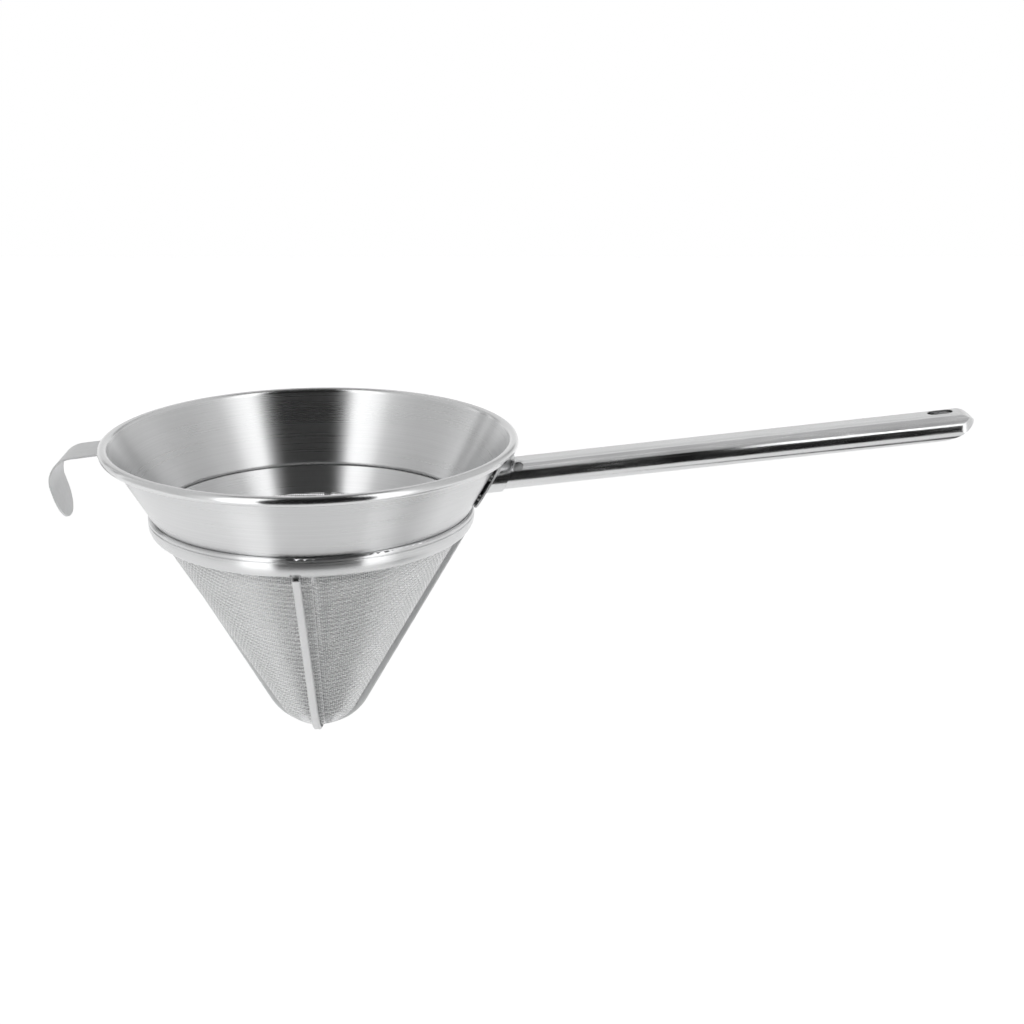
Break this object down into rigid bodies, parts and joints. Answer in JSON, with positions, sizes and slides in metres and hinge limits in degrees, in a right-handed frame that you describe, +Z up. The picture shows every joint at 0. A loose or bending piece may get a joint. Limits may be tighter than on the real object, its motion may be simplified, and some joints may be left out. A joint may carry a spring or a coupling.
{
  "type": "chinois strainer",
  "caption": "Conical fine-mesh chinois strainer: rolled-rim steel funnel, wire cloth cone with crossed ribs, hollow handle with a hanging slot, and a pot hook opposite.",
  "frame": {"origin": "centre of the circle that the rim's top touches, on the funnel's axis", "axes": "+Z up along the funnel's axis, +X from the axis along the handle, -X to the hook, -Y towards the viewer of the picture"},
  "size_m": [0.4406, 0.2, 0.1634],
  "materials": {
    "funnel_steel": "satin, brushed around the axis",
    "wire_cloth": "plain woven bright wire",
    "strap_steel": "satin",
    "handle_steel": "polished",
    "weld_metal": "as welded, lightly blasted"
  },
  "bodies": {
    "root": {"funnel_wall": "funnel_steel", "inner_clamp_ring": "funnel_steel", "outer_clamp_band": "funnel_steel", "wire_cloth_cone": "wire_cloth", "front_back_rib": "strap_steel", "left_right_rib": "strap_steel", "rim_hook": "strap_steel", "hook_weld_plugs": "weld_metal", "bracket_plate": "strap_steel", "bracket_weld_nuggets": "weld_metal", "bracket_neck": "handle_steel", "handle_tube": "handle_steel", "handle_weld_plugs": "weld_metal"}
  },
  "joints": []
}
